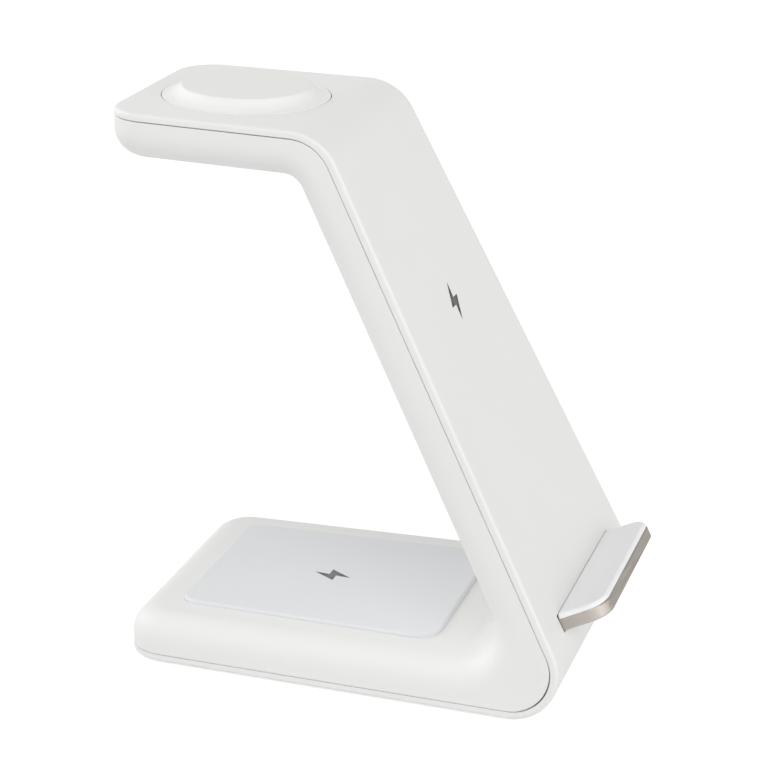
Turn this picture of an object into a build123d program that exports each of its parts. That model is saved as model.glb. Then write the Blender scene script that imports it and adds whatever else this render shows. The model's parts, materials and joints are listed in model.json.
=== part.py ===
"""Three in one wireless charger: a Z shaped stand with a watch head on top, a leaning phone
panel with a ledge, and an earbud pad on the base. Millimetres, +Z up, front towards -Y.
Every piece is drawn with the underside of the base at z = 0 and the base centred on y = 0,
then all pieces are moved together so that the box stands on z = 0, centred in X and Y."""
import os
from math import cos, sin, tan, radians, hypot, sqrt
from build123d import *

os.makedirs("parts", exist_ok=True)

# Stand: the side view
panel_lean = 63.4           # phone panel above the floor, degrees
panel_foot = 61.5           # panel face, run on down to the floor, in front of the base centre
platform_height = 129.45    # platform top above the base centre
platform_tilt = 1.35        # platform falls towards the front, degrees
base_back = 53.0            # back end of the base behind the base centre
base_thick = 10.9
panel_thick = 11.55
platform_thick = 11.1
lower_bend = 11.7           # outside radius where panel and base join
upper_bend = 12.4           # outside radius where panel and platform join
lower_crook = 8.0           # inside radius over the base
upper_crook = 5.0           # inside radius under the platform

# Stand: across
foot_half_width = 38.2      # half the width of the panel at the floor
side_lean = 3.85            # each side draws in this much along the panel, degrees
base_corner = 10.0          # plan radius of the back corners of the base
platform_corner = 9.5       # plan radius of the back corners of the platform
soft_edge = 6.6             # radius all round the inner shell
crisp_edge = 0.8            # radius all round the outer shell

# Shells
rim = 1.8                   # outer shell on the base and panel: its visible edge and its wall
platform_rim = 1.6          # the same on the platform
wall = 2.0                  # wall of the inner shell
base_seam_gap = 0.05        # shadow line between the shells, along the base
seam_gap = 0.2              # the same along the panel
platform_seam_gap = 0.26    # the same along the platform
seam_round = 0.3            # edge of the inner shell at the shadow line
seam_ease = 0.3             # added to the foot bend of the inner shell, opens the line there
lip_gap = 0.05              # lip of the outer shell to the wall it slides in
lip_thick = 0.9
lip_height = 2.0

# Watch head
puck_top_radius = 15.0      # flat top, to the edge of the slope
puck_rise = 2.6             # flat top above the platform
puck_brim = 0.15            # foot of the slope above the platform
puck_run = 2.1              # slope, measured across
puck_ring = 2.35            # flat ring outside the slope
puck_gap = 0.2              # shadow line round the head
puck_land = 1.0             # flat of the platform between its bend and the head
platform_land = 4.85        # platform behind the head
puck_top_round = 0.6
puck_foot_round = 4.4
puck_rim_round = 0.2
puck_wall = 1.3
puck_shoulder = 0.6         # inside of the slope, in from its outside edge
puck_hollow = 3.0           # drop of the slope inside
flange_lap = 1.15           # flange under the platform, past the opening
flange_thick = 1.2
watch_coil_gap = 0.8
watch_coil_id = 13.0
watch_coil_thick = 1.2
watch_ferrite_gap = 0.3
watch_ferrite_hole = 9.0
watch_ferrite_thick = 0.8
watch_magnet_d = 8.0
watch_magnet_thick = 2.4
watch_board_gap = 0.9       # board in from the edge of the flange
watch_chip_sides = (4.0, 3.0)
watch_chip_x = 7.0
watch_chip_ys = (5.0, -4.0)
chip_thick = 0.9
board_thick = 1.0

# Phone ledge
ledge_seat = 22.85          # top of the metal above the floor line, along the panel
ledge_thick = 3.0
ledge_half_width = 25.1
ledge_reach = 11.75
ledge_corner = 5.0
ledge_edge = 0.35
ledge_pad_thick = 1.1
ledge_pad_inset = 0.2
ledge_pad_edge = 0.85
ledge_pad_gap = 0.12        # soft pad to the panel
slot_gap = 0.3
flange_up = 13.0
ledge_flange_thick = 2.0
ledge_boss_d = 4.6
ledge_boss_gap = 0.1
ledge_screw_x = 14.0
ledge_screw_up = 8.0

# Earbud pad
pad_front = 22.2            # front edge ahead of the base centre
pad_back = 42.0             # back edge behind the base centre
pad_half_front = 25.6
pad_half_back = 23.6
pad_front_corner = 6.0
pad_back_corner = 3.5
pad_thick = 1.7
pad_sunk = 0.8
pad_gap = 0.12
pad_edge = 0.45

# Coils under the panel and the pad
phone_coil_up = 95.4        # coil centre above the floor line, along the panel
phone_coil_od = 46.0
phone_coil_id = 20.0
phone_coil_thick = 1.0
phone_ferrite_side = 50.0
ferrite_thick = 0.8
earbud_coil_y = 10.0
earbud_coil_od = 36.0
earbud_coil_id = 17.0
earbud_coil_thick = 1.2
earbud_ferrite_d = 40.0

# Main board and inlet
standoff = 0.8
standoff_d = 5.0
main_half_width = 19.0
main_front = 13.4
main_back = 49.4
main_corner = 2.0
control_chip_sides = (6.0, 5.0, 4.0)
control_chip_spots = ((-9.0, 37.0), (9.0, 37.0), (0.0, 21.0))
inductor_side = 6.0
inductor_thick = 2.6
inductor_corner = 0.8
inductor_x = 10.0
inductor_y = 27.0
capacitor_wide = 1.6
capacitor_long = 3.2
capacitor_spots = ((14.5, 38.0), (3.5, 38.0), (3.5, 27.0), (12.0, 20.5))
inlet_width = 8.94
inlet_height = 3.26
inlet_depth = 7.3
inlet_wall = 0.3
inlet_gap = 0.17
inlet_recess = 0.75         # mouth of the inlet in from the back end
inlet_back = 0.6            # closed back of the inlet
tongue_width = 6.7
tongue_thick = 0.7
tongue_depth = 5.2

# Fasteners and feet
foot_d = 9.0
foot_thick = 1.1
foot_sunk = 0.5
foot_gap = 0.12
foot_back_x = 23.5
foot_back_y = 41.0
foot_front_x = 26.0
foot_front_y = -36.0
shell_screw_d = 2.0
shell_screw_head_d = 4.4
shell_screw_head_h = 1.1
shell_screw_len = 6.4
shell_boss_d = 6.0
shell_pad_d = 7.0
shell_pad_h = 1.5
board_screw_d = 1.6
board_screw_head_d = 3.0
board_screw_head_h = 0.9
board_screw_len = 2.6
board_screw_x = 16.0
board_screw_ys = (17.0, 46.0)
ledge_screw_d = 1.8
ledge_screw_head_d = 6.2
ledge_screw_head_h = 0.9
ledge_screw_len = 2.8
thread_gap = 0.02           # all round a screw in its hole
pass_gap = 0.1              # all round a screw in a clearance hole

# Leads
watch_lead_d = 2.0
phone_lead_d = 1.0
earbud_lead_d = 1.0
lead_bend = 1.5             # centre line radius of a lead at a tight bend
duct_bend = 8.0             # centre line radius where the leads turn from panel to base
duct = -6.2                 # leads behind the panel face
run_z = 5.7                 # leads above the floor, through the base
lead_h = -6.8               # watch lead below the platform top
watch_lead_x = 8.0
phone_lead_x = -8.0

# Derived directions and places: along the panel, out of the panel, along the platform; the
# watch head stands just behind the upper bend, and the platform ends behind the head
lean = radians(panel_lean)
tilt = radians(platform_tilt)
along_panel = Vector(0, cos(lean), sin(lean))
out_of_panel = Vector(0, -sin(lean), cos(lean))
crest_y = (platform_height / tan(lean) - panel_foot) / (1 - tan(tilt) / tan(lean))
bend_end_y = crest_y + upper_bend * tan((lean - tilt) / 2) * cos(tilt)
puck_radius = puck_top_radius + puck_run + puck_ring
puck_flange = puck_radius + flange_lap
puck_back = bend_end_y + puck_land + puck_gap + puck_radius
platform_back = puck_back + puck_radius + puck_gap + platform_land
inlet_mouth = base_back - inlet_recess
puck_seat_z = platform_height + puck_back * tan(tilt)
panel_plane = Plane(origin=(0, -panel_foot, 0), x_dir=(1, 0, 0), z_dir=out_of_panel)
platform_plane = Plane(origin=(0, puck_back, puck_seat_z), x_dir=(1, 0, 0),
                       z_dir=(0, -sin(tilt), cos(tilt)))


def meet(first, second):
    """Point where two lines of the side view cross; each line is (point, direction)."""
    (p, d), (q, e) = first, second
    cross = d[0] * e[1] - d[1] * e[0]
    t = ((q[0] - p[0]) * e[1] - (q[1] - p[1]) * e[0]) / cross
    return (p[0] + d[0] * t, p[1] + d[1] * t)


def side_lines(outer, inner):
    """The eight lines of the side view, set in: the outer lines by a depth each for base, panel
    and platform, and the five lines behind them by one amount."""
    base_depth, panel_depth, platform_depth = outer
    up = (cos(lean), sin(lean))
    out = (-sin(lean), cos(lean))
    flat = (cos(tilt), sin(tilt))
    rise = (-sin(tilt), cos(tilt))

    def panel_line(depth):
        return ((-panel_foot - out[0] * depth, -out[1] * depth), up)

    def platform_line(depth):
        return ((-rise[0] * depth, platform_height - rise[1] * depth), flat)

    return {
        "floor": ((0, base_depth), (1, 0)),
        "panel": panel_line(panel_depth),
        "top": platform_line(platform_depth),
        "platform_end": ((platform_back - inner, 0), (0, 1)),
        "under": platform_line(platform_thick - inner),
        "back": panel_line(panel_thick - inner),
        "base_top": ((0, base_thick - inner), (1, 0)),
        "base_end": ((base_back - inner, 0), (0, 1)),
    }


def outer_bends(outer, ease=0.0):
    """Radii of the lower and upper outside bend at the depth of the panel."""
    panel_depth = outer[1]
    return lower_bend - panel_depth + ease, upper_bend - panel_depth


def side_face(outer, inner, ease):
    """Face of the side view with its four bends rounded."""
    ln = side_lines(outer, inner)
    order = list(ln)
    pts = [meet(ln[order[i]], ln[order[(i + 1) % 8]]) for i in range(8)]
    face = Plane.YZ * make_face(Polyline(*pts, close=True))
    low_radius, high_radius = outer_bends(outer, ease)
    bends = {0: low_radius, 1: high_radius, 4: upper_crook + inner, 5: lower_crook + inner}
    for i, radius in bends.items():
        spot = Vector(0, *pts[i])
        corner = min(face.vertices(), key=lambda v: (Vector(v) - spot).length)
        face = fillet(corner, radius)
    return face


def side_prism(inset):
    """Everything between the two leaning sides, set in from each."""
    def half(s):
        return foot_half_width - s * tan(radians(side_lean)) - inset / cos(radians(side_lean))

    low, high = -30.0, 200.0
    plan = Polyline((half(low), low), (half(high), high), (-half(high), high), (-half(low), low),
                    close=True)
    return extrude(panel_plane * make_face(plan), amount=170, both=True)


def stand(outer, inner, soft=0.0, crisp=0.0, ease=0.0):
    """The whole stand as one solid, set in by the given amounts, with its long edges rounded."""
    body = extrude(side_face(outer, inner, ease), amount=60, both=True) & side_prism(inner)
    body = body.solids()[0]

    def corners(y, raised):
        """Upright edges at one end, on the raised platform or on the base."""
        return [e for e in body.edges()
                if abs(e.center().Y - y) < 0.6 and (e.center().Z > platform_height / 2) == raised
                and abs((e % 0.5).Z) > 0.9]

    body = fillet(corners(base_back - inner, False), base_corner - inner)
    body = fillet(corners(platform_back - inner, True), platform_corner - inner)
    ln = side_lines(outer, inner)

    def on_line(e, keys):
        """True when the middle of the edge lies near one of the named side lines or their bends."""
        c = e @ 0.5
        return any(distance((c.Y, c.Z), ln[k]) < 0.02 for k in keys)

    def distance(p, line):
        (q, d) = line
        return abs((p[0] - q[0]) * d[1] - (p[1] - q[1]) * d[0])

    def rim_edges(keys, faces_of):
        """Edges between the ribbon of named faces and the sides or ends."""
        picked = []
        for e in body.edges():
            c = e @ 0.5
            if abs((e % 0.5).X) > 0.999 and abs(c.Y - (base_back - inner)) > 0.05 \
                    and abs(c.Y - (platform_back - inner)) > 0.05:
                continue
            if on_line(e, keys) or near_bend(c, faces_of):
                picked.append(e)
        return picked

    def near_bend(c, bends):
        return any(abs(hypot(c.Y - b[0][0], c.Z - b[0][1]) - b[1]) < 0.02
                   and hypot(c.Y - b[2][0], c.Z - b[2][1]) < b[3] for b in bends)

    def bend(first, second, radius, side):
        """Centre, radius, corner and reach of a rounded bend of the side view."""
        v = meet(ln[first], ln[second])
        a, b = ln[first][1], ln[second][1]
        na, nb = (-a[1], a[0]), (-b[1], b[0])
        sa, sb = side
        p = (ln[first][0][0] + sa * radius * na[0], ln[first][0][1] + sa * radius * na[1])
        q = (ln[second][0][0] + sb * radius * nb[0], ln[second][0][1] + sb * radius * nb[1])
        c = meet((p, a), (q, b))
        return (c, radius, v, hypot(c[0] - v[0], c[1] - v[1]))

    if soft:
        crooks = [bend("under", "back", upper_crook + inner, (-1, 1)),
                  bend("back", "base_top", lower_crook + inner, (1, 1))]
        body = fillet(rim_edges(("under", "back", "base_top"), crooks), soft)
    if crisp:
        low_radius, high_radius = outer_bends(outer, ease)
        bows = [bend("floor", "panel", low_radius, (1, -1)),
                bend("panel", "top", high_radius, (-1, -1))]
        body = fillet(rim_edges(("floor", "panel", "top"), bows), crisp)
    return body


def behind_outside(outer):
    """Everything further in than the given depths under the outside ribbon."""
    ln = side_lines(outer, 0)
    far = 160.0
    low = meet(ln["floor"], ln["panel"])
    high = meet(ln["panel"], ln["top"])
    end = meet(ln["top"], ((far, 0), (0, 1)))
    face = Plane.YZ * make_face(Polyline((far, outer[0]), low, high, end, close=True))
    for spot, radius in zip((low, high), outer_bends(outer)):
        corner = min(face.vertices(), key=lambda v: (Vector(v) - Vector(0, *spot)).length)
        face = fillet(corner, radius)
    return extrude(face, amount=70, both=True)


def peg(x, y, low, high, d):
    """Upright cylinder between two heights."""
    return Pos(x, y, (low + high) / 2) * Cylinder(d / 2, high - low)


def block(x, y, low, size, corner=0.0):
    """Small upright block standing on a height; size is across, deep and high."""
    if corner:
        return Pos(x, y, low) * extrude(RectangleRounded(size[0], size[1], corner), size[2])
    return Pos(x, y, low + size[2] / 2) * Box(*size)


def disc(plane, x, y, low, high, d, hole=0.0):
    """Disc or ring on a plane, between two heights above it."""
    shape = Pos(x, y) * Circle(d / 2)
    if hole:
        shape -= Pos(x, y) * Circle(hole / 2)
    return extrude(plane.offset(low) * shape, high - low)


def lead(points, d, bends):
    """Round lead along a bent path; each inner point has its own bend radius."""
    parts = []
    last = points[0]
    for before, here, after, radius in zip(points, points[1:], points[2:], bends):
        back, on = (before - here).normalized(), (after - here).normalized()
        half = radians(back.get_angle(on)) / 2
        middle = (back + on).normalized()
        start, end = here + back * (radius / tan(half)), here + on * (radius / tan(half))
        crown = here + middle * (radius / sin(half) - radius)
        parts += [Line(last, start), ThreePointArc(start, crown, end)]
        last = end
    parts.append(Line(last, points[-1]))
    path = Wire([e for p in parts for e in p.edges()])
    return sweep(Plane(origin=path @ 0, z_dir=path % 0) * Circle(d / 2), path=path)


nodes = {}
screw_spots = [(sx * x, y) for sx in (-1, 1)
               for x, y in ((foot_back_x, foot_back_y), (foot_front_x, foot_front_y))]
board_spots = [(sx * board_screw_x, y) for sx in (-1, 1) for y in board_screw_ys]
board_low = rim + standoff
board_top = board_low + board_thick
base_ceiling = base_thick - wall

# Stand in one piece, hollow, then parted along the seam; the depths are for base, panel, platform
outside = (0.0, 0.0, 0.0)
rim_depth = (rim, rim, platform_rim)
seam_depth = (rim + base_seam_gap, rim + seam_gap, platform_rim + platform_seam_gap)
whole = stand(outside, 0, soft=soft_edge, crisp=crisp_edge)
hollow = stand(rim_depth, wall, soft=soft_edge - wall)
outer_shell = whole - behind_outside(rim_depth)
inner_shell = stand(seam_depth, 0, soft=soft_edge, crisp=seam_round, ease=seam_ease) - hollow

# Lip of the outer shell
lip = stand(rim_depth, wall + lip_gap)
lip -= stand([d - 1 for d in rim_depth], wall + lip_gap + lip_thick)
lip -= behind_outside([d + lip_height for d in rim_depth])
lip -= disc(platform_plane, 0, 0, -8, 0, 2 * (puck_flange + 0.2))
lip -= Pos(0, base_back, rim + 2) * Box(14, 12, 8)
outer_shell += lip

# Seats on the outer shell: shell screws, main board
for x, y in screw_spots:
    outer_shell += peg(x, y, rim - 0.5, rim + shell_pad_h, shell_pad_d)
for x, y in board_spots:
    outer_shell += peg(x, y, rim - 0.5, board_low, standoff_d)
head_seat = foot_sunk + shell_screw_head_h + 0.1
for x, y in screw_spots:
    outer_shell -= peg(x, y, -1, foot_sunk, foot_d + 2 * foot_gap)
    outer_shell -= peg(x, y, 0, head_seat, shell_screw_head_d + 2 * pass_gap)
    outer_shell -= peg(x, y, 0, rim + shell_pad_h + 1, shell_screw_d + 2 * pass_gap)
for x, y in board_spots:
    outer_shell -= peg(x, y, board_top - board_screw_len - 0.1, board_low + 1,
                       board_screw_d + 2 * thread_gap)

# Opening for the watch head, slot for the ledge, ledge bosses
outer_shell -= disc(platform_plane, 0, 0, -platform_rim - 4, 4, 2 * (puck_radius + puck_gap))
slot_low = ledge_seat - ledge_thick - slot_gap
slot_high = ledge_seat + ledge_pad_thick
slot_face = Pos(0, (slot_low + slot_high) / 2) * Rectangle(2 * (ledge_half_width + slot_gap),
                                                           slot_high - slot_low)
outer_shell -= extrude(panel_plane.offset(-rim - 4) * slot_face, rim + 8)
boss_up = ledge_seat + ledge_screw_up
for sx in (-1, 1):
    outer_shell += disc(panel_plane, sx * ledge_screw_x, boss_up, -rim - ledge_flange_thick + 0.1,
                        -rim + 0.3, ledge_boss_d)
    outer_shell -= disc(panel_plane, sx * ledge_screw_x, boss_up, -rim - ledge_flange_thick,
                        -rim - ledge_flange_thick + ledge_screw_len + 0.1,
                        ledge_screw_d + 2 * thread_gap)
nodes["outer_shell"] = outer_shell

# Bosses, pad seat and inlet opening on the inner shell
core = stand(outside, wall - 0.6)
for x, y in screw_spots:
    inner_shell += peg(x, y, rim + shell_pad_h, 40, shell_boss_d) & core
shank_end = head_seat + shell_screw_len
for x, y in screw_spots:
    inner_shell -= peg(x, y, 0, shank_end + 0.2, shell_screw_d + 2 * thread_gap)


def pad_outline(grow):
    """Plan of the earbud pad, grown all round."""
    a, b = pad_half_front + grow, pad_half_back + grow
    plan = make_face(Polyline((a, -pad_front - grow), (b, pad_back + grow), (-b, pad_back + grow),
                              (-a, -pad_front - grow), close=True))
    rows = plan.vertices().group_by(Axis.Y)
    plan = fillet(rows[-1], pad_back_corner + grow)
    return fillet(plan.vertices().group_by(Axis.Y)[0], pad_front_corner + grow)


pad_floor = base_thick - pad_sunk
inner_shell -= Pos(0, 0, pad_floor) * extrude(pad_outline(pad_gap), 6)
inlet_z = board_top + inlet_height / 2


def inlet_outline(grow):
    """Mouth of the inlet, grown all round."""
    return SlotOverall(inlet_width + 2 * grow, inlet_height + 2 * grow)


inlet_plane = Plane(origin=(0, inlet_mouth, inlet_z), x_dir=(-1, 0, 0), z_dir=(0, 1, 0))
inner_shell -= extrude(inlet_plane.offset(-8) * inlet_outline(inlet_gap), 16)
nodes["inner_shell"] = inner_shell

# Watch head cap, turned round its own axis
inside_top = puck_rise - puck_wall
inside_r = puck_top_radius - puck_shoulder
skirt_r = inside_r + puck_hollow
flange_low = -platform_rim - flange_thick
profile = make_face(Polyline(
    (0, puck_rise), (puck_top_radius, puck_rise), (puck_top_radius + puck_run, puck_brim),
    (puck_radius, puck_brim), (puck_radius, -platform_rim), (puck_flange, -platform_rim),
    (puck_flange, flange_low),
    (skirt_r, flange_low), (skirt_r, inside_top - puck_hollow), (inside_r, inside_top),
    (0, inside_top), close=True))
for spot, radius in (((puck_top_radius, puck_rise), puck_top_round),
                     ((puck_top_radius + puck_run, puck_brim), puck_foot_round),
                     ((puck_radius, puck_brim), puck_rim_round)):
    corner = min(profile.vertices(), key=lambda v: (Vector(v) - Vector(*spot)).length)
    profile = fillet(corner, radius)
puck = revolve(Plane.XZ * profile, Axis.Z)
puck -= Pos(0, -puck_radius - puck_gap - flange_lap, -platform_rim - flange_thick / 2) * Box(
    4 * puck_radius, 2 * flange_lap, 2 * flange_thick)
nodes["watch_puck"] = platform_plane * puck

# Watch coil, ferrite, magnet, board and its chips, stacked under the cap
coil_low = inside_top - watch_coil_thick
watch_coil_od = 2 * (inside_r - watch_coil_gap)
nodes["watch_coil"] = disc(platform_plane, 0, 0, coil_low, inside_top, watch_coil_od,
                           watch_coil_id)
watch_ferrite_d = watch_coil_od + 2 * watch_ferrite_gap
nodes["watch_ferrite"] = disc(platform_plane, 0, 0, coil_low - watch_ferrite_thick, coil_low,
                              watch_ferrite_d, watch_ferrite_hole)
nodes["watch_magnet"] = disc(platform_plane, 0, 0, inside_top - watch_magnet_thick, inside_top,
                             watch_magnet_d)
watch_board_low = flange_low - board_thick
nodes["watch_board"] = disc(platform_plane, 0, 0, watch_board_low, flange_low,
                            2 * (puck_flange - watch_board_gap))
nodes["watch_chips"] = Compound([
    platform_plane * block(-watch_chip_x, y, watch_board_low - chip_thick, (a, a, chip_thick))
    for y, a in zip(watch_chip_ys, watch_chip_sides)])

# Phone ledge: a cast plate whose tongue passes the slot and turns up behind the panel
ledge_low = ledge_seat - ledge_thick
tip = Pos(0, ledge_reach / 2) * Rectangle(2 * ledge_half_width, ledge_reach)
tip = fillet(tip.vertices().group_by(Axis.Y)[-1], ledge_corner)
ledge_plane = Plane(origin=panel_plane.from_local_coords((0, ledge_low, 0)), x_dir=(-1, 0, 0),
                    z_dir=along_panel)
plate = extrude(ledge_plane * tip, ledge_thick)
plate = chamfer([e for e in plate.edges() if (panel_plane.to_local_coords(e @ 0.5)).Z > 0.4
                 and abs((e % 0.5).dot(along_panel)) < 0.1], ledge_edge)
tongue_in = rim + ledge_flange_thick
plate += extrude(ledge_plane * (Pos(0, -tongue_in / 2)
                                * Rectangle(2 * ledge_half_width, tongue_in)), ledge_thick)
flange_face = Pos(0, ledge_low + (ledge_thick + flange_up) / 2) * RectangleRounded(
    2 * ledge_half_width - 4, ledge_thick + flange_up, 1.5)
for sx in (-1, 1):
    flange_face -= Pos(sx * ledge_screw_x, boss_up) * Circle(ledge_boss_d / 2 + ledge_boss_gap)
plate += extrude(panel_plane.offset(-rim - ledge_flange_thick) * flange_face, ledge_flange_thick)
nodes["phone_ledge"] = plate

# Soft pad on the ledge
pad_reach = ledge_reach - ledge_pad_inset
top_pad = Pos(0, (pad_reach + ledge_pad_gap) / 2) * Rectangle(
    2 * (ledge_half_width - ledge_pad_inset), pad_reach - ledge_pad_gap)
top_pad = fillet(top_pad.vertices().group_by(Axis.Y)[-1], ledge_corner - ledge_pad_inset)
top_pad = extrude(ledge_plane.offset(ledge_thick) * top_pad, ledge_pad_thick)
upper = [e for e in top_pad.edges()
         if abs(panel_plane.to_local_coords(e @ 0.5).Y - slot_high) < 0.01
         and panel_plane.to_local_coords(e @ 0.5).Z > ledge_pad_gap + 0.05]
nodes["ledge_pad"] = fillet(upper, ledge_pad_edge)

# Earbud pad
earbud_pad = Pos(0, 0, pad_floor) * extrude(pad_outline(0), pad_thick)
nodes["earbud_pad"] = fillet(earbud_pad.edges().group_by(Axis.Z)[-1], pad_edge)

# Phone and earbud coils with their ferrites
nodes["phone_coil"] = disc(panel_plane, 0, phone_coil_up, -rim - phone_coil_thick, -rim,
                           phone_coil_od, phone_coil_id)
phone_ferrite_top = -rim - phone_coil_thick
nodes["phone_ferrite"] = extrude(
    panel_plane.offset(phone_ferrite_top - ferrite_thick)
    * (Pos(0, phone_coil_up) * RectangleRounded(phone_ferrite_side, phone_ferrite_side, 3)),
    ferrite_thick)
earbud_plane = Plane(origin=(0, earbud_coil_y, base_ceiling))
nodes["earbud_coil"] = disc(earbud_plane, 0, 0, -earbud_coil_thick, 0, earbud_coil_od,
                            earbud_coil_id)
nodes["earbud_ferrite"] = disc(earbud_plane, 0, 0, -earbud_coil_thick - ferrite_thick,
                               -earbud_coil_thick, earbud_ferrite_d)

# Main board with its parts
main_board = block(0, (main_front + main_back) / 2, board_low,
                   (2 * main_half_width, main_back - main_front, board_thick), main_corner)
for x, y in board_spots:
    main_board -= peg(x, y, 0, base_thick, board_screw_d + 2 * pass_gap)
nodes["main_board"] = main_board
nodes["control_chips"] = Compound([
    block(x, y, board_top, (a, a, chip_thick))
    for (x, y), a in zip(control_chip_spots, control_chip_sides)])
nodes["power_inductors"] = Compound([
    block(sx * inductor_x, inductor_y, board_top, (inductor_side, inductor_side, inductor_thick),
          inductor_corner) for sx in (-1, 1)])
nodes["board_capacitors"] = Compound([
    block(sx * x, y, board_top, (capacitor_wide, capacitor_long, capacitor_wide))
    for x, y in capacitor_spots for sx in (-1, 1)])

# Inlet socket with its tongue
shell = extrude(inlet_plane.offset(-inlet_depth) * inlet_outline(0), inlet_depth)
shell -= extrude(inlet_plane.offset(-inlet_depth + inlet_back) * inlet_outline(-inlet_wall), inlet_depth)
nodes["usb_c_socket"] = shell
tongue = extrude(inlet_plane.offset(-inlet_depth + inlet_back)
                 * RectangleRounded(tongue_width, tongue_thick, 0.3), tongue_depth)
nodes["usb_c_tongue"] = tongue

# Feet and screws
nodes["rubber_feet"] = Compound([
    chamfer(peg(x, y, foot_sunk - foot_thick, foot_sunk, foot_d).edges().group_by(Axis.Z)[0], 0.2)
    for x, y in screw_spots])
shell_screws = []
for x, y in screw_spots:
    s = peg(x, y, head_seat - shell_screw_head_h, head_seat, shell_screw_head_d)
    s += peg(x, y, head_seat - 0.2, shank_end, shell_screw_d)
    s -= peg(x, y, head_seat - shell_screw_head_h - 1, head_seat - 0.5, 1.6)
    shell_screws.append(s)
nodes["shell_screws"] = Compound(shell_screws)
board_screws = []
for x, y in board_spots:
    s = peg(x, y, board_top, board_top + board_screw_head_h, board_screw_head_d)
    s += peg(x, y, board_top - board_screw_len, board_top + 0.2, board_screw_d)
    s -= peg(x, y, board_top + 0.5, board_top + 2, 1.1)
    board_screws.append(s)
nodes["board_screws"] = Compound(board_screws)
ledge_screws = []
head_low = -rim - ledge_flange_thick
for sx in (-1, 1):
    s = disc(panel_plane, sx * ledge_screw_x, boss_up, head_low - ledge_screw_head_h, head_low,
             ledge_screw_head_d)
    s += disc(panel_plane, sx * ledge_screw_x, boss_up, head_low - 0.2, head_low + ledge_screw_len,
              ledge_screw_d)
    s -= disc(panel_plane, sx * ledge_screw_x, boss_up, head_low - 2, head_low - 0.4, 1.6)
    ledge_screws.append(s)
nodes["ledge_screws"] = Compound(ledge_screws)


def on_panel(x, s, d):
    return panel_plane.from_local_coords((x, s, d))


def on_platform(x, y, h):
    return platform_plane.from_local_coords((x, y, h))


# Leads from the board to the three coils, each whole
def duct_corner(x, z):
    """Point of the duct line at a height."""
    s = (z - duct * cos(lean)) / sin(lean)
    return on_panel(x, s, duct)


lead_lines = side_lines((0, -duct, -lead_h), 0)
top_corner = meet(lead_lines["top"], lead_lines["panel"])
lead_end = main_front + 1.6
x = watch_lead_x
nodes["watch_lead"] = lead([
    on_platform(x, 0, watch_board_low), on_platform(x, 0, lead_h), Vector(x, *top_corner),
    duct_corner(x, run_z), Vector(x, lead_end, run_z), Vector(x, lead_end, board_top)],
    watch_lead_d, (lead_bend, duct_bend, duct_bend, lead_bend))
x = phone_lead_x
coil_edge = phone_coil_up - sqrt((phone_coil_od / 2) ** 2 - (abs(x) - phone_lead_d / 2) ** 2)
coil_layer = -rim - phone_coil_thick / 2
nodes["phone_lead"] = lead([
    on_panel(x, coil_edge, coil_layer), on_panel(x, 62, coil_layer),
    on_panel(x, 54, duct), duct_corner(x, run_z),
    Vector(x, lead_end, run_z), Vector(x, lead_end, board_top)],
    phone_lead_d, (lead_bend, lead_bend, duct_bend, lead_bend))
earbud_y = earbud_coil_y + earbud_coil_od / 2
earbud_z = base_ceiling - earbud_coil_thick / 2
nodes["earbud_lead"] = lead([
    Vector(0, earbud_y, earbud_z), Vector(0, earbud_y + 3.4, earbud_z),
    Vector(0, earbud_y + 3.4, board_top)], earbud_lead_d, (lead_bend,))

# Stand the whole on the floor, centred
box = Compound([Compound(n.solids()) for n in nodes.values()]).bounding_box()
place = Location((-box.center().X, -box.center().Y, -box.min.Z))
print("box", [round(v, 3) for v in box.size], "shift", place.position)
for name, shape in nodes.items():
    solids = shape.solids()
    moved = solids[0] if len(solids) == 1 else Compound(solids)
    moved = place * moved
    moved.label = name
    export_step(moved, f"parts/{name}.step")
    print(name, len(solids), round(moved.volume, 2))
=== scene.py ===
# %% [markdown]
# # A three in one wireless charger
# The object is a white plastic stand, bent like a Z. A watch lies on the round head at the top, a
# phone leans on the panel and stands on the metal ledge, and an earbud case lies on the base pad.
# The hard shapes come from the CAD model, which is loaded as a fixed frame. Blender adds the soft
# pads, the printed signs, the windings and the finishes, and then the light and the camera.

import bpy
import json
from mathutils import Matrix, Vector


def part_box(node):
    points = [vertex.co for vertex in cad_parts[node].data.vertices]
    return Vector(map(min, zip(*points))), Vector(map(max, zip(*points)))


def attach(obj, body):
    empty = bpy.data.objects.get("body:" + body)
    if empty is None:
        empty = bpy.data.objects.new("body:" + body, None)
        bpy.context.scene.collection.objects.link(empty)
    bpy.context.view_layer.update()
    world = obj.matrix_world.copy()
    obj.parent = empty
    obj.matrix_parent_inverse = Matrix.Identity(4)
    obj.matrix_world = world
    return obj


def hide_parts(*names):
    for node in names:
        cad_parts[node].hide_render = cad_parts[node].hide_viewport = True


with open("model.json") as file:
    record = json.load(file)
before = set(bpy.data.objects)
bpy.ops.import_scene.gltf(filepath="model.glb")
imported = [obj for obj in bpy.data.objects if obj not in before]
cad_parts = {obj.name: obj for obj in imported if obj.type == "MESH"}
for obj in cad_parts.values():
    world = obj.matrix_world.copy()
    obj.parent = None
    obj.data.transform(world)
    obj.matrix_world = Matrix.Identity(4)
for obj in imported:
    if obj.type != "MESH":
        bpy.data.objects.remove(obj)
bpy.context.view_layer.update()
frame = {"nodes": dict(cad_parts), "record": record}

import bpy
import bmesh
import json
from math import radians, degrees, sin, cos, pi
from mathutils import Matrix, Vector

MM = 0.001
scene = bpy.context.scene
nodes = frame["nodes"]

# %% [markdown]
# ## Places to build on
# The record of the CAD part names the faces that things rest on, each with a point and a direction.
# New pieces are placed from those, so they sit on the real surfaces and need no fitting by eye. Each
# face gets a matrix: its own X runs across the charger, its own Z points out of the face.

# %% Matrices of the three charging faces
mounts = {m["name"]: m for m in frame["record"]["mounts"]}


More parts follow.
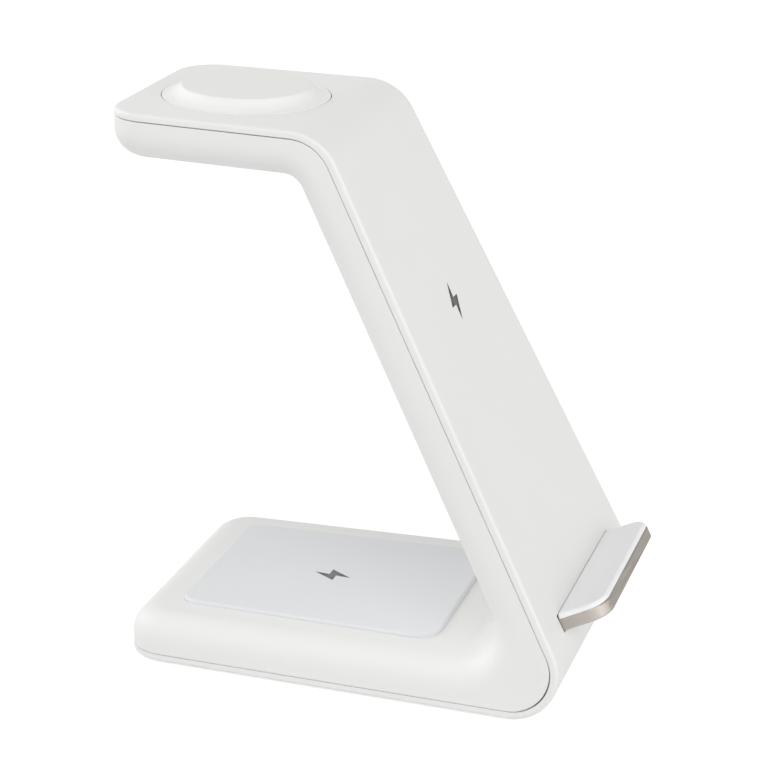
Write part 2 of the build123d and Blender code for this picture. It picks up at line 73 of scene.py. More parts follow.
def face_matrix(name):
    """Matrix from a face's own axes to the row frame: X across, Z out of the face."""
    point, out = Vector(mounts[name]["pos_m"]), Vector(mounts[name]["axis"]).normalized()
    across = Vector((1, 0, 0))
    along = out.cross(across)
    turn = Matrix((across, along, out)).transposed().to_4x4()
    return Matrix.Translation(point) @ turn


def box_on(face, node):
    """Lowest and highest corner of a CAD node, measured in the axes of a face."""
    to_face = face.inverted()
    points = [to_face @ v.co for v in nodes[node].data.vertices]
    return [Vector([pick(p[axis] for p in points) for axis in range(3)]) for pick in (min, max)]


panel_face = face_matrix("phone_panel")
pad_face = face_matrix("earbud_seat")
watch_face = face_matrix("watch_seat")
panel_lean = degrees(Vector((0, 1, 0)).angle(panel_face.col[1].to_3d()))
print("panel leans", round(panel_lean, 2), "degrees, pad top at", round(pad_face.translation.z / MM, 2), "mm")

# %% Centre of the base
FRONT_FEET_Y = -36.0 * MM                         # front feet from the centre of the base
base_centre = Vector((0, mounts["feet"]["pos_m"][1] - FRONT_FEET_Y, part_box("outer_shell")[0].z))
print("base centre in mm", [round(v / MM, 3) for v in base_centre])

# %% [markdown]
# ## Camera
# The photograph is taken from the near side, a little above, with a long lens: the far edges are
# hardly shorter than the near ones. The direction, distance and lens below were worked out from the
# straight edges in the picture. The camera looks straight at a point and has no roll.

# %% Camera at the photograph's viewing angle
AZIMUTH, ELEVATION = radians(-72.308), radians(20.093)
CAMERA_DISTANCE = 575.163 * MM
LENS, SENSOR = 109.98, 36.0                       # millimetres, on a square picture
AIM_RIGHT, AIM_UP = 1.619 * MM, 58.973 * MM       # picture centre from the centre of the base
CLIP_NEAR, CLIP_FAR = 0.01, 50.0                  # metres

back = Vector((sin(AZIMUTH) * cos(ELEVATION), -cos(AZIMUTH) * cos(ELEVATION), sin(ELEVATION)))
right = Vector((cos(AZIMUTH), sin(AZIMUTH), 0))
up = back.cross(right)
camera = bpy.data.objects.new("camera", bpy.data.cameras.new("camera"))
scene.collection.objects.link(camera)
camera.data.lens, camera.data.sensor_width = LENS, SENSOR
camera.data.clip_start, camera.data.clip_end = CLIP_NEAR, CLIP_FAR
camera.rotation_mode = "QUATERNION"
camera.rotation_quaternion = (-back).to_track_quat("-Z", "Y")
camera.location = base_centre + right * AIM_RIGHT + up * AIM_UP + back * CAMERA_DISTANCE
scene.camera = camera
scene.view_settings.view_transform = "Standard"
print("camera at", [round(v, 4) for v in camera.location], "lens", LENS)

# %% [markdown]
# ## Helpers for materials
# Colours are written as sRGB hex values, as a designer would note them, and turned to linear light
# once. One function adds any shader node: its settings, its values, and links from other nodes'
# sockets. A pattern's scale is worked out from a size in millimetres.

# %% Colour and node helpers


def linear(hex_colour):
    """Linear RGBA of an sRGB hex colour."""
    parts = [int(hex_colour[i:i + 2], 16) / 255 for i in (1, 3, 5)]
    return [c / 12.92 if c <= 0.04045 else ((c + 0.055) / 1.055) ** 2.4 for c in parts] + [1.0]


def add(tree, kind, values=None, **settings):
    """Adds a node; a value that is a socket is linked, any other is set."""
    made = tree.nodes.new(kind)
    for name, value in settings.items():
        setattr(made, name, value)
    for name, value in (values or {}).items():
        if isinstance(value, bpy.types.NodeSocket):
            tree.links.new(value, made.inputs[name])
        else:
            made.inputs[name].default_value = value
    return made


def per_mm(size):
    """Texture scale at which one cell of a pattern is this many millimetres across."""
    return 1000.0 / size


def start_finish(name):
    """An empty material: its tree and the Object coordinates that every pattern here reads."""
    material = bpy.data.materials.new(name)
    material.use_nodes = True
    material.node_tree.nodes.clear()
    place = add(material.node_tree, "ShaderNodeTexCoord").outputs["Object"]
    return material, material.node_tree, place


def end_finish(tree, shader):
    """Links the shader to the material's output."""
    add(tree, "ShaderNodeOutputMaterial", {"Surface": shader.outputs[0]})


print("white is", linear("#FFFFFF"), "mid grey is", [round(c, 3) for c in linear("#808080")])

# %% [markdown]
# ## White moulded ABS
# The two shells and the watch head are ABS, moulded in a mould with a fine spark-eroded surface.
# That gives a satin white: it is mostly diffuse, with a wide soft highlight on the bends. Up close
# there is a grain of about a third of a millimetre and a very faint mottle where the melt flowed.
# The grain is drawn a little coarser than the real one, so that it shows in a close view. The watch
# head is polished, so its grain is finer. It is drawn a touch whiter, a painted highlight for its bright
# flank, and its round flat is drawn darker, painted shade mixed in by the distance from its middle.

# %% White ABS
FLOW_SIZE, GRAIN_SIZE = 28.0, 0.34                # millimetres: mottle of the melt, moulded grain
# The flat of the watch head is drawn darker than its flank, as painted shade, with the same gloss.
HEAD_FLAT_RADIUS = 15.0 * MM                      # the flat of the watch head is frosted
FLAT_BLEND = 0.3 * MM                             # half the width of the soft border of the flat


def white_abs(name, colour, shade, grain_depth, flat=None):
    """Satin white plastic: two near tones, a fine grain, and a round flat in painted shade if one is given.
    """
    material, tree, place = start_finish(name)
    flow = add(tree, "ShaderNodeTexNoise", {"Vector": place, "Scale": per_mm(FLOW_SIZE),
                                            "Detail": 3.0, "Roughness": 0.5})
    tone = add(tree, "ShaderNodeMix", {"Factor": flow.outputs["Fac"], "A": linear(shade),
                                       "B": linear(colour)}, data_type="RGBA")
    # Painted shade: the round flat gets the darker tone, by its distance from the middle.
    if flat:
        centre, radius, flat_painted_shade = flat
        away = add(tree, "ShaderNodeVectorMath", {0: place, 1: centre}, operation="DISTANCE")
        beyond = add(tree, "ShaderNodeMapRange", {"Value": away.outputs["Value"],
                                                  "From Min": radius - FLAT_BLEND,
                                                  "From Max": radius + FLAT_BLEND})
        tone = add(tree, "ShaderNodeMix", {"Factor": beyond.outputs["Result"], "A": linear(flat_painted_shade),
                                           "B": tone.outputs["Result"]}, data_type="RGBA")
    grain = add(tree, "ShaderNodeTexNoise", {"Vector": place, "Scale": per_mm(GRAIN_SIZE),
                                             "Detail": 2.0, "Roughness": 0.55})
    gloss = add(tree, "ShaderNodeMapRange", {"Value": grain.outputs["Fac"], "From Min": 0.3,
                                             "From Max": 0.7, "To Min": 0.46, "To Max": 0.56})
    bump = add(tree, "ShaderNodeBump", {"Height": grain.outputs["Fac"], "Strength": 0.35,
                                        "Distance": grain_depth * MM})
    shader = add(tree, "ShaderNodeBsdfPrincipled", {
        "Base Color": tone.outputs["Result"], "Roughness": gloss.outputs["Result"],
        "Normal": bump.outputs["Normal"], "IOR": 1.53, "Specular IOR Level": 0.38})
    end_finish(tree, shader)
    return material


shell_white = white_abs("white_abs_spark_eroded", "#EBEBE9", "#E8E8E6", 0.012)
# The head is drawn whiter than the shells, a painted highlight for its bright flank; #E8E8E5 is painted shade
# on its round flat.
head_white = white_abs("white_abs_head_painted_light", "#EFEFED", "#EDEDEA", 0.006,
                       (watch_face.translation, HEAD_FLAT_RADIUS, "#E8E8E5"))
print("made", shell_white.name, "and", head_white.name)

# %% [markdown]
# ## Pale silicone
# The pad on the base and the pad on the ledge are moulded silicone rubber, a touch cooler and greyer
# than the shells. The ledge pad is drawn much whiter than the base pad: painted light, which makes up
# for the shade it gets in the crook under the panel. Silicone scatters light softly and has a dry, even
# surface with hardly any highlight, so the roughness is high and a thin sheen stands for the bloom on its
# edges.

# %% Pale silicone
CLOUD_SIZE, TOOTH_SIZE = 16.0, 0.28               # millimetres: faint patches, dry fine surface
TOOTH_DEPTH = 0.01 * MM


def silicone(name, colour, shade):
    """Dry pale rubber with a fine tooth and faint cloudy patches."""
    material, tree, place = start_finish(name)
    cloud = add(tree, "ShaderNodeTexNoise", {"Vector": place, "Scale": per_mm(CLOUD_SIZE),
                                             "Detail": 4.0})
    tone = add(tree, "ShaderNodeMix", {"Factor": cloud.outputs["Fac"], "A": linear(shade),
                                       "B": linear(colour)}, data_type="RGBA")
    tooth = add(tree, "ShaderNodeTexNoise", {"Vector": place, "Scale": per_mm(TOOTH_SIZE),
                                             "Detail": 1.0})
    dry = add(tree, "ShaderNodeMapRange", {"Value": tooth.outputs["Fac"], "To Min": 0.52,
                                           "To Max": 0.66})
    bump = add(tree, "ShaderNodeBump", {"Height": tooth.outputs["Fac"], "Strength": 0.3,
                                        "Distance": TOOTH_DEPTH})
    shader = add(tree, "ShaderNodeBsdfPrincipled", {
        "Base Color": tone.outputs["Result"], "Roughness": dry.outputs["Result"],
        "Normal": bump.outputs["Normal"], "IOR": 1.41, "Specular IOR Level": 0.35,
        "Sheen Weight": 0.08, "Sheen Roughness": 0.5})
    end_finish(tree, shader)
    return material


pad_silicone = silicone("pale_silicone_earbud_pad", "#E4E5E7", "#E2E3E5")
# The ledge pad is drawn far whiter than the base pad: painted light on a pad that sits in shade under the
# panel.
ledge_silicone_painted_light = silicone("pale_silicone_ledge_pad_painted_light", "#F7F7F8", "#F5F5F6")
print("made", pad_silicone.name, "and", ledge_silicone_painted_light.name)

# %% [markdown]
# ## Satin nickel on cast zinc
# The ledge is a casting with a warm grey satin plating. Its edge is drawn along a belt, so fine lines
# run along the length of the edge: the noise is stretched forty times along X. The lines change both
# the gloss and the tone a little, which is what makes a satin metal look drawn and not sprayed. The
# front edge is drawn darker and streaky: painted shade for the darker surroundings that it reflects.
# That darker tone comes in with the distance from the panel, broken up by wider streaks.

# %% Satin nickel
BELT_LINE, SHADE_STREAK_SIZE = 0.22, 0.3                # millimetres: drawn lines, wider streaks
BELT_STRETCH, BELT_DEPTH = 40.0, 0.008 * MM
# Painted shade on the front edge begins and is full at these distances from the panel.
PAINTED_SHADE_START, PAINTED_SHADE_FULL = 9.6 * MM, 11.5 * MM       # from the panel: where the drawn edge begins


def satin_nickel(name, colour, shade, front_painted_shade):
    """Warm grey plated metal with fine lines along X, and painted shade that darkens the front edge in
    streaks.
    """
    material, tree, place = start_finish(name)
    drawn = add(tree, "ShaderNodeMapping", {"Vector": place,
                                            "Scale": (1 / BELT_STRETCH, 1.0, 1.0)})
    lines = add(tree, "ShaderNodeTexNoise", {"Vector": drawn.outputs["Vector"],
                                             "Scale": per_mm(BELT_LINE), "Detail": 2.0})
    tone = add(tree, "ShaderNodeMix", {"Factor": lines.outputs["Fac"], "A": linear(shade),
                                       "B": linear(colour)}, data_type="RGBA")
    out = panel_face.col[2].to_3d()
    panel_at = out.dot(panel_face.translation)
    # Painted shade: the front edge, far from the panel, gets a darker tone in streaks.
    reach = add(tree, "ShaderNodeVectorMath", {0: place, 1: out}, operation="DOT_PRODUCT")
    edge = add(tree, "ShaderNodeMapRange", {"Value": reach.outputs["Value"],
                                            "From Min": panel_at + PAINTED_SHADE_START,
                                            "From Max": panel_at + PAINTED_SHADE_FULL})
    patch = add(tree, "ShaderNodeTexNoise", {"Vector": drawn.outputs["Vector"],
                                             "Scale": per_mm(SHADE_STREAK_SIZE), "Detail": 1.0})
    shade_streak = add(tree, "ShaderNodeMapRange", {"Value": patch.outputs["Fac"], "From Min": 0.3,
                                              "From Max": 0.7, "To Min": 0.5, "To Max": 1.0})
    painted_shade_mask = add(tree, "ShaderNodeMath", {0: edge.outputs["Result"], 1: shade_streak.outputs["Result"]},
               operation="MULTIPLY")
    tone = add(tree, "ShaderNodeMix", {"Factor": painted_shade_mask.outputs[0], "A": tone.outputs["Result"],
                                       "B": linear(front_painted_shade)}, data_type="RGBA")
    gloss = add(tree, "ShaderNodeMapRange", {"Value": lines.outputs["Fac"], "To Min": 0.4,
                                             "To Max": 0.52})
    bump = add(tree, "ShaderNodeBump", {"Height": lines.outputs["Fac"], "Strength": 0.15,
                                        "Distance": BELT_DEPTH})
    shader = add(tree, "ShaderNodeBsdfPrincipled", {
        "Base Color": tone.outputs["Result"], "Roughness": gloss.outputs["Result"],
        "Normal": bump.outputs["Normal"], "Metallic": 1.0})
    end_finish(tree, shader)
    return material


# 8B847D is painted shade on the front edge.
ledge_metal = satin_nickel("satin_nickel_on_zinc", "#C2BCB6", "#B2ABA4", "#8B847D")
print("made", ledge_metal.name)

# %% [markdown]
# ## Printing ink
# The two charging signs are pad printed in dark grey ink. A printed film is thin and slightly uneven.
# It is laid on thickest along the thin arms, so the middle of the sign is a little paler: the tone is
# mixed by the distance from the middle, and a small noise makes that line ragged.

# %% Dark grey ink
INK_PATCH, INK_RAGGED = 0.9, 0.8 * MM             # millimetres; and how far the line wanders
INK_PALE, INK_FULL = 1.0 * MM, 2.4 * MM           # from the middle: still pale, fully dark


def printing_ink(name, middle, pale, dark):
    """Matt ink of a sign: paler round a middle point, dark in the arms."""
    material, tree, place = start_finish(name)
    patch = add(tree, "ShaderNodeTexNoise", {"Vector": place, "Scale": per_mm(INK_PATCH), "Detail": 3.0})
    away = add(tree, "ShaderNodeVectorMath", {0: place, 1: middle}, operation="DISTANCE")
    ragged = add(tree, "ShaderNodeMath", {0: patch.outputs["Fac"], 1: INK_RAGGED,
                                          2: away.outputs["Value"]}, operation="MULTIPLY_ADD")
    thick = add(tree, "ShaderNodeMapRange", {"Value": ragged.outputs[0],
                                             "From Min": INK_PALE + INK_RAGGED / 2,
                                             "From Max": INK_FULL + INK_RAGGED / 2})
    tone = add(tree, "ShaderNodeMix", {"Factor": thick.outputs["Result"], "A": linear(pale),
                                       "B": linear(dark)}, data_type="RGBA")
    film = add(tree, "ShaderNodeMapRange", {"Value": patch.outputs["Fac"], "To Min": 0.5, "To Max": 0.65})
    shader = add(tree, "ShaderNodeBsdfPrincipled", {
        "Base Color": tone.outputs["Result"], "Roughness": film.outputs["Result"], "IOR": 1.5,
        "Specular IOR Level": 0.2})
    end_finish(tree, shader)
    return material


print("ink goes from pale to dark between", INK_PALE / MM, "and", INK_FULL / MM, "mm from the middle")

# %% [markdown]
# ## Finishes of the pieces inside and underneath
# These are mostly hidden, and are finished all the same: they show when the part is taken apart. Each
# is one call of the same recipe: two tones, a pattern size, a range of gloss, and whether it is metal.

# %% Plain two-tone finishes


def two_tone(name, colour, shade, size, gloss, depth, metallic=0.0):
    """Base recipe: two near tones in cells of a size in mm, a gloss range, a bump depth in mm."""
    material, tree, place = start_finish(name)
    cells = add(tree, "ShaderNodeTexNoise", {"Vector": place, "Scale": per_mm(size), "Detail": 3.0})
    tone = add(tree, "ShaderNodeMix", {"Factor": cells.outputs["Fac"], "A": linear(shade),
                                       "B": linear(colour)}, data_type="RGBA")
    rough = add(tree, "ShaderNodeMapRange", {"Value": cells.outputs["Fac"], "To Min": gloss[0],
                                             "To Max": gloss[1]})
    bump = add(tree, "ShaderNodeBump", {"Height": cells.outputs["Fac"], "Strength": 0.4,
                                        "Distance": depth * MM})
    shader = add(tree, "ShaderNodeBsdfPrincipled", {
        "Base Color": tone.outputs["Result"], "Roughness": rough.outputs["Result"],
        "Normal": bump.outputs["Normal"], "Metallic": metallic})
    end_finish(tree, shader)
    return material


finishes = {
    "grey_rubber": two_tone("grey_rubber_moulded", "#A3A3A5", "#979799", 0.5, (0.7, 0.85), 0.03),
    "nickel_plate": two_tone("bright_nickel_plate", "#CFCBC4", "#BFBBB4", 1.2, (0.16, 0.26), 0.004, 1.0),
    "zinc_steel": two_tone("zinc_plated_steel", "#B4B6BA", "#9EA1A6", 0.8, (0.28, 0.42), 0.008, 1.0),
    "copper_wire": two_tone("enamelled_copper", "#C27A4E", "#A8623A", 0.7, (0.22, 0.36), 0.01, 1.0),
    "ferrite": two_tone("sintered_ferrite", "#38383B", "#2B2B2E", 0.35, (0.6, 0.8), 0.02),
    "circuit_board": two_tone("green_solder_mask", "#1F6B41", "#185634", 2.4, (0.28, 0.4), 0.02),
    "black_plastic": two_tone("black_moulded_epoxy", "#2B2B2D", "#202022", 0.3, (0.5, 0.65), 0.01),
    "tan_ceramic": two_tone("fired_tan_ceramic", "#B08F6A", "#A0805C", 0.5, (0.45, 0.6), 0.01),
    "white_jacket": two_tone("soft_white_jacket", "#DCDCDC", "#D2D2D2", 1.5, (0.4, 0.55), 0.01),
    "gold_plate": two_tone("gold_contact_plate", "#E3C071", "#D2AD5C", 0.3, (0.2, 0.32), 0.003, 1.0),
}
print("made", len(finishes), "finishes for the inside")

# %% [markdown]
# ## Finishes on the CAD pieces
# The record says which finish slot each CAD node belongs to. The shells share one white, the watch
# head is a little smoother, and the rest follow their slots.

# %% Finish every CAD node
finishes.update(white_plastic=shell_white, pale_silicone=pad_silicone, satin_metal=ledge_metal)
slot_of = {s["node"]: s["material_slot"] for s in frame["record"]["subparts"]}
own_finish = {"watch_puck": head_white, "ledge_pad": ledge_silicone_painted_light}
for name, node in nodes.items():
    node.data.materials.clear()
    node.data.materials.append(own_finish.get(name, finishes[slot_of[name]]))
print("finished", len(nodes), "CAD nodes in", len(set(slot_of.values())), "slots")

# %% [markdown]
# ## Making a piece
# Every new piece is a bmesh, shaped by operators and then turned into an object at the origin. Its
# faces are smooth, with sharp edges where two faces meet at more than a set angle, and weighted
# normals keep the flat faces flat beside their rounded edges.

# %% Helper that turns a bmesh into a finished piece
SHARP_ANGLE = 35.0                                # degrees between faces that stay a sharp edge
MERGE_DISTANCE = 1e-7                             # metres between doubled vertices


def piece(name, bm, finish, sharp=SHARP_ANGLE):
    """Object of a bmesh in the row frame, riding on the charger."""
    bmesh.ops.remove_doubles(bm, verts=bm.verts, dist=MERGE_DISTANCE)
    bmesh.ops.recalc_face_normals(bm, faces=bm.faces)
    mesh = bpy.data.meshes.new(name)
    bm.to_mesh(mesh)
    bm.free()
    for face in mesh.polygons:
        face.use_smooth = True
    mesh.set_sharp_from_angle(angle=radians(sharp))
    mesh.materials.append(finish)
    made = bpy.data.objects.new(name, mesh)
    scene.collection.objects.link(made)
    made.modifiers.new("flat_faces", "WEIGHTED_NORMAL").keep_sharp = True
    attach(made, "root")
    print(name, len(mesh.vertices), "vertices", [round(d / MM, 2) for d in made.dimensions], "mm")
    return made


print("edges over", SHARP_ANGLE, "degrees stay sharp")

# %% [markdown]
# ## Rounded plates
# The pads and the printed signs are all flat plates. A plate starts as one face. Its corners are
# rounded with a vertex bevel, the face is extruded to a thickness, and an edge bevel rounds the rim.

# %% Helper for a plate
CORNER_STEPS, EDGE_STEPS = 10, 6
NEARLY = 0.999                                    # part of a height or radius that counts as all of it


def slab(corners, radii, thick, edge, square_below=None):
    """Bmesh plate: rounded corners, a thickness, and a round upper edge where y is over a limit."""
    bm = bmesh.new()
    ring = [bm.verts.new((x, y, 0)) for x, y in corners]
    bm.faces.new(ring)
    for vert, radius in zip(ring, radii):
        if not radius:
            continue
        bmesh.ops.bevel(bm, geom=[vert], offset=radius, offset_type="OFFSET", affect="VERTICES",
                        segments=CORNER_STEPS, profile=0.5, material=-1)
    sheet = bm.faces[:]
    risen = bmesh.ops.extrude_face_region(bm, geom=sheet)["geom"]
    bmesh.ops.translate(bm, verts=[g for g in risen if isinstance(g, bmesh.types.BMVert)],
                        vec=(0, 0, thick))
    if edge:
        rim = [e for e in bm.edges if all(v.co.z > thick * NEARLY for v in e.verts)
               and (square_below is None or max(v.co.y for v in e.verts) > square_below)]
        bmesh.ops.bevel(bm, geom=rim, offset=edge, offset_type="OFFSET", affect="EDGES",
                        segments=EDGE_STEPS, profile=0.5, material=-1)
    return bm


print("a plate has", CORNER_STEPS, "steps round a corner and", EDGE_STEPS, "round its edge")

# %% [markdown]
# ## Earbud pad
# The pad is a thin silicone plate, a little narrower at the back, that lies in a shallow seat on the
# base and stands proud of it with a soft edge. It could be the CAD solid, but the real edge is rolled
# over by the mould, so it is remade with a fuller round that catches a line of light.

# %% Earbud pad in its seat
low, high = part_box("earbud_pad")
PAD_HALF_FRONT, PAD_HALF_BACK = 25.7 * MM, 23.7 * MM
PAD_CORNERS, PAD_EDGE = [6.1 * MM, 6.1 * MM, 3.6 * MM, 3.6 * MM], 0.75 * MM
SEAT_FILL = 0.1 * MM                              # the soft edge fills the gap of the seat
PAD_FRONT, PAD_BACK = low.y - SEAT_FILL, high.y + SEAT_FILL
bm = slab([(-PAD_HALF_FRONT, PAD_FRONT), (PAD_HALF_FRONT, PAD_FRONT),
           (PAD_HALF_BACK, PAD_BACK), (-PAD_HALF_BACK, PAD_BACK)],
          PAD_CORNERS, high.z - low.z, PAD_EDGE)
bmesh.ops.translate(bm, verts=bm.verts, vec=(0, 0, low.z))
earbud_pad = piece("earbud_pad_silicone", bm, pad_silicone)
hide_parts("earbud_pad")

# %% [markdown]
# ## Ledge pad
# A strip of the same silicone covers the top of the metal ledge, so the phone does not touch metal.
# Its front corners follow the ledge and its edge is a full soft round. It is drawn flat in the axes
# of the ledge and then turned to lie on it, square to the panel.

# %% Ledge pad on the ledge
LEDGE_PAD_CORNER, LEDGE_PAD_EDGE = 4.8 * MM, 0.85 * MM
low, high = box_on(panel_face, "ledge_pad")
bm = slab([(low.x, low.z), (high.x, low.z), (high.x, high.z), (low.x, high.z)],
          [0, 0, LEDGE_PAD_CORNER, LEDGE_PAD_CORNER], high.y - low.y, LEDGE_PAD_EDGE,
          square_below=2 * low.z)
on_ledge = panel_face @ Matrix.Translation((0, low.y, 0)) \
    @ Matrix.Rotation(pi / 2, 4, "X") @ Matrix.Scale(-1, 4, (0, 0, 1))
bmesh.ops.transform(bm, matrix=on_ledge, verts=bm.verts)
ledge_pad = piece("ledge_pad_silicone", bm, ledge_silicone_painted_light)
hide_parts("ledge_pad")

# %% [markdown]
# ## Charging signs
# A plain six-cornered bolt is printed over the phone coil on the panel and over the earbud coil on the
# pad. The sign is drawn once as a polygon, in millimetres round its own centre. It gets the thickness
# of an ink film and is set a hair into the surface, so that no gap shows under it from the side.

# %% Two printed bolts
BOLT = [(0.46, 4.6), (-2.85, -0.85), (-0.15, -0.9), (-0.46, -4.6), (2.85, 0.85), (0.15, 0.9)]
INK_FILM, INK_SUNK = 0.04 * MM, 0.02 * MM


def printed_bolt(name, place, pale, dark):
    """Ink film in the shape of a bolt on the face that the matrix gives, in two tones of ink."""
    film = slab([(x * MM, y * MM) for x, y in BOLT], [], INK_FILM + INK_SUNK, 0)
    bmesh.ops.translate(film, verts=film.verts, vec=(0, 0, -INK_SUNK))
    bmesh.ops.transform(film, matrix=place, verts=film.verts)
    piece(name, film, printing_ink(name + "_dark_ink", place.translation, pale, dark))


PAD_SIGN_Y = 11.45 * MM                           # behind the centre of the base
low, high = box_on(panel_face, "phone_coil")
over_coil = (low.y + high.y) / 2
on_pad = base_centre.y + PAD_SIGN_Y - pad_face.translation.y
printed_bolt("panel_sign", panel_face @ Matrix.Translation((0, over_coil, 0)), "#66676A", "#313234")
printed_bolt("pad_sign", pad_face @ Matrix.Translation((0, on_pad, 0)), "#7B7C7F", "#636467")

# %% [markdown]
# ## Rubber feet
# Four soft feet sit in round pockets under the base and hide the screws. A moulded foot is a disc with
# a rounded rim and one ring groove, which helps it to grip. Half of its outline is a short chain of
# edges that is spun once round, and then the rim is rounded with a bevel.

# %% Four feet under the base
FOOT_RADIUS, FOOT_ROUND = 4.5 * MM, 0.4 * MM
FOOT_STEPS, FOOT_ROUND_STEPS, FOOT_SHARP = 48, 5, 50.0
LEVEL = 1e-6                                      # metres: this near the floor counts as on it
GROOVE_RADIUS, GROOVE_HALF, GROOVE_DEPTH = 2.8 * MM, 0.35 * MM, 0.3 * MM
BACK_FOOT, FRONT_FOOT = (23.5 * MM, 41.0 * MM), (26.0 * MM, FRONT_FEET_Y)
FOOT_SPOTS = [(side * x, base_centre.y + y) for side in (-1, 1) for x, y in (BACK_FOOT, FRONT_FOOT)]
low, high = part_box("rubber_feet")
outline = [(0, 0), (GROOVE_RADIUS - GROOVE_HALF, 0), (GROOVE_RADIUS, GROOVE_DEPTH),
           (GROOVE_RADIUS + GROOVE_HALF, 0), (FOOT_RADIUS, 0), (FOOT_RADIUS, high.z - low.z),
           (0, high.z - low.z)]
bm = bmesh.new()
for x, y in FOOT_SPOTS:
    centre = Vector((x, y, low.z))
    chain = [bm.verts.new(centre + Vector((r, 0, z))) for r, z in outline]
    edges = [bm.edges.new(pair) for pair in zip(chain, chain[1:])]
    bmesh.ops.spin(bm, geom=chain + edges, cent=centre, axis=(0, 0, 1), angle=2 * pi,
                   steps=FOOT_STEPS, use_merge=True)
bmesh.ops.remove_doubles(bm, verts=bm.verts, dist=MERGE_DISTANCE)
rim = []
for edge in bm.edges:
    spots = [min((v.co.xy - Vector(spot)).length for spot in FOOT_SPOTS) for v in edge.verts]
    if all(v.co.z < low.z + LEVEL for v in edge.verts) and min(spots) > FOOT_RADIUS * NEARLY:
        rim.append(edge)
bmesh.ops.bevel(bm, geom=rim, offset=FOOT_ROUND, offset_type="OFFSET", affect="EDGES",
                segments=FOOT_ROUND_STEPS, profile=0.5, material=-1)
feet = piece("rubber_feet_moulded", bm, finishes["grey_rubber"], sharp=FOOT_SHARP)
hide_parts("rubber_feet")

# %% [markdown]
# ## Contacts of the inlet
# A USB-C inlet has a tongue in the middle with twelve gold plated strips on each face, half a
# millimetre apart. They are what one sees when looking into the inlet. Each strip is a cube that is
# scaled to a thin bar, laid half into the tongue, and softened with a small bevel.

# %% Gold strips on the tongue
STRIP_PITCH, STRIP_WIDTH, STRIP_LENGTH, STRIP_FILM = 0.5 * MM, 0.26 * MM, 3.4 * MM, 0.1 * MM
STRIP_COUNT, TIP_BARE, STRIP_ROUND = 12, 0.5 * MM, 0.03 * MM
low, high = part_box("usb_c_tongue")
bm = bmesh.new()
for z in (low.z, high.z):
    for i in range(STRIP_COUNT):
        bar = bmesh.ops.create_cube(bm, size=1.0)["verts"]
        bmesh.ops.scale(bm, vec=(STRIP_WIDTH, STRIP_LENGTH, STRIP_FILM), verts=bar)
        bmesh.ops.translate(bm, verts=bar, vec=((i - (STRIP_COUNT - 1) / 2) * STRIP_PITCH,
                                                high.y - TIP_BARE - STRIP_LENGTH / 2, z))
bmesh.ops.bevel(bm, geom=bm.edges[:], offset=STRIP_ROUND, offset_type="OFFSET", affect="EDGES",
                segments=2, profile=0.5, material=-1)
piece("usb_c_contacts", bm, finishes["gold_plate"])

# %% [markdown]
# ## Charging coils
# Each coil is one length of enamelled wire, wound flat in a spiral from the inside out. Rings made by
# a spin would be quicker, but they would not be one wire. So the spiral is a smooth curve through a
# few points a turn, given the thickness of the wire, and then made a mesh and laid in its place.

# %% Three wound coils
POINTS_A_TURN = 12
SPLINE_PULL = (2 + cos(2 * pi / POINTS_A_TURN)) / 3   # a smooth spline runs inside its points


def wound_coil(node, face, inner, wire):
    """One flat winding in place of a CAD ring under a face; inner radius and wire thickness given."""
    low, high = box_on(face, node)
    outer = high.x
    turns = int((outer - inner) / wire)
    count = turns * POINTS_A_TURN + 1
    curve = bpy.data.curves.new(node + "_wire", "CURVE")
    curve.dimensions, curve.bevel_depth, curve.bevel_resolution = "3D", wire / 2, 2
    curve.resolution_u, curve.use_fill_caps = 3, True
    spiral = curve.splines.new("NURBS")
    spiral.points.add(count - 1)
    for i, point in enumerate(spiral.points):
        angle = 2 * pi * i / POINTS_A_TURN
        radius = inner + wire / 2 + (outer - inner - wire) * i / (count - 1)
        point.co = (radius / SPLINE_PULL * cos(angle), radius / SPLINE_PULL * sin(angle), 0, 1)
    spiral.order_u, spiral.use_endpoint_u = 4, True
    helper = bpy.data.objects.new(node + "_wire", curve)
    scene.collection.objects.link(helper)
    drawn = helper.evaluated_get(bpy.context.evaluated_depsgraph_get())
    bm = bmesh.new()
    bm.from_mesh(drawn.to_mesh())
    drawn.to_mesh_clear()
    bpy.data.objects.remove(helper)
    place = face @ Matrix.Translation((low + high) / 2)
    bmesh.ops.transform(bm, matrix=place, verts=bm.verts)
    coil = piece(node + "_winding", bm, finishes["copper_wire"])
    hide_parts(node)


COILS = {                                         # face above it, inner radius, wire thickness
    "phone_coil": (panel_face, 10.0 * MM, 1.0 * MM),
    "earbud_coil": (pad_face, 8.5 * MM, 1.15 * MM),
    "watch_coil": (watch_face, 6.5 * MM, 1.15 * MM),
}
for coil_node, winding in COILS.items():
    wound_coil(coil_node, *winding)

# %% [markdown]
# ## Floor and room
# The charger stands on a plain pale floor in a white studio. Seen by the camera, in reflections and
# through clear things, floor and room are white; the floor still shows part of the shadow. Light that
# bounces meets a pale floor and a dimmer room. A Light Path node tells the two cases apart.

# %% Floor
FLOOR_HALF = 4.0                                  # metres
FLOOR_PALE, SHADOW_PART = "#F2F2F2", "#9B9B9B"    # for light that bounces; for the shading one sees
WHITE_PART = 0.82                                 # white glow under the shading that one sees


def seen_straight(tree):
    """Socket that is 1 for camera, glossy and transmission rays, and 0 for light that bounces."""
    path = add(tree, "ShaderNodeLightPath").outputs
    shown = path["Is Camera Ray"]
    for ray in ("Is Glossy Ray", "Is Transmission Ray"):
        shown = add(tree, "ShaderNodeMath", {0: shown, 1: path[ray]}, operation="MAXIMUM").outputs[0]
    return shown


bm = bmesh.new()
bmesh.ops.create_grid(bm, x_segments=1, y_segments=1, size=FLOOR_HALF)
mesh = bpy.data.meshes.new("floor")
bm.to_mesh(mesh)
bm.free()
floor = bpy.data.objects.new("floor", mesh)
scene.collection.objects.link(floor)

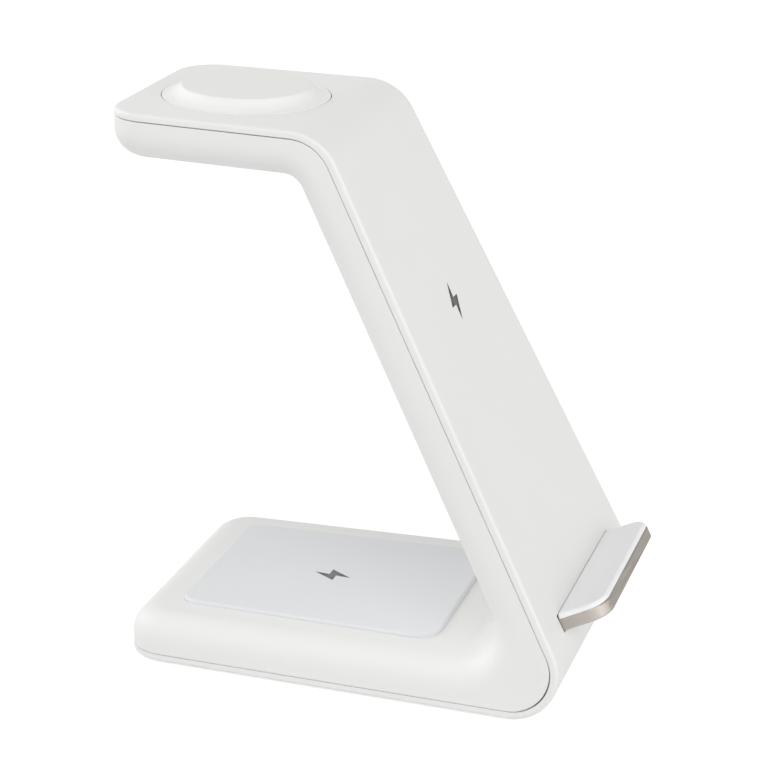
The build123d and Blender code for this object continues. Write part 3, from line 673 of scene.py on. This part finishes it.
material = bpy.data.materials.new("pale_studio_floor")
material.use_nodes = True
tree = material.node_tree
tree.nodes.clear()
pale = add(tree, "ShaderNodeBsdfDiffuse", {"Color": linear(FLOOR_PALE)})
shading = add(tree, "ShaderNodeBsdfDiffuse", {"Color": linear(SHADOW_PART)})
glow = add(tree, "ShaderNodeEmission", {"Color": linear("#FFFFFF"), "Strength": WHITE_PART})
white = add(tree, "ShaderNodeAddShader", {0: shading.outputs[0], 1: glow.outputs[0]})
end_finish(tree, add(tree, "ShaderNodeMixShader", {0: seen_straight(tree), 1: pale.outputs[0],
                                                   2: white.outputs[0]}))
mesh.materials.append(material)
print("floor", [round(d, 2) for d in floor.dimensions], "m")

# %% White room
ROOM_LIGHT = 0.33
world = bpy.data.worlds.new("white_studio")
scene.world = world
world.use_nodes = True
tree = world.node_tree
tree.nodes.clear()
level = add(tree, "ShaderNodeMapRange", {"Value": seen_straight(tree), "To Min": ROOM_LIGHT,
                                         "To Max": 1.0})
room = add(tree, "ShaderNodeBackground", {"Color": linear("#FFFFFF"),
                                          "Strength": level.outputs["Result"]})
add(tree, "ShaderNodeOutputWorld", {"Surface": room.outputs[0]})
print("room is 1.0 where it is seen, and lights the charger with", ROOM_LIGHT)

# %% [markdown]
# ## Lamps
# Three large soft lamps give the form its shading, and the room fills the rest. One is high on the
# near side and lights the flanks. One is in front and lights the panel, and one is behind and lights
# the pad and the back of the panel. Large lamps far away give soft edges to every shadow.

# %% Soft lamps
LAMP_AIM = Vector((0, 0, 0.06))                   # metres: the middle of the charger
LAMPS = {                                         # direction, then metres: away, wide, high; then watts
    "near_high_lamp": ((-0.72, -0.08, 0.78), 2.0, 2.0, 2.0, 18.6),
    "front_lamp": ((-0.25, -1.0, 0.42), 2.0, 3.0, 1.6, 19.9),
    "back_lamp": ((0.1, 1.0, 0.5), 2.2, 2.0, 2.0, 25.0),
}
for name, (direction, distance, wide, high, power) in LAMPS.items():
    light = bpy.data.lights.new(name, "AREA")
    light.shape, light.size, light.size_y, light.energy = "RECTANGLE", wide, high, power
    lamp = bpy.data.objects.new(name, light)
    scene.collection.objects.link(lamp)
    way = Vector(direction).normalized()
    lamp.location = LAMP_AIM + way * distance
    lamp.rotation_mode = "QUATERNION"
    lamp.rotation_quaternion = way.to_track_quat("Z", "Y")
print("lamps", list(LAMPS), "with", [setting[-1] for setting in LAMPS.values()], "W")
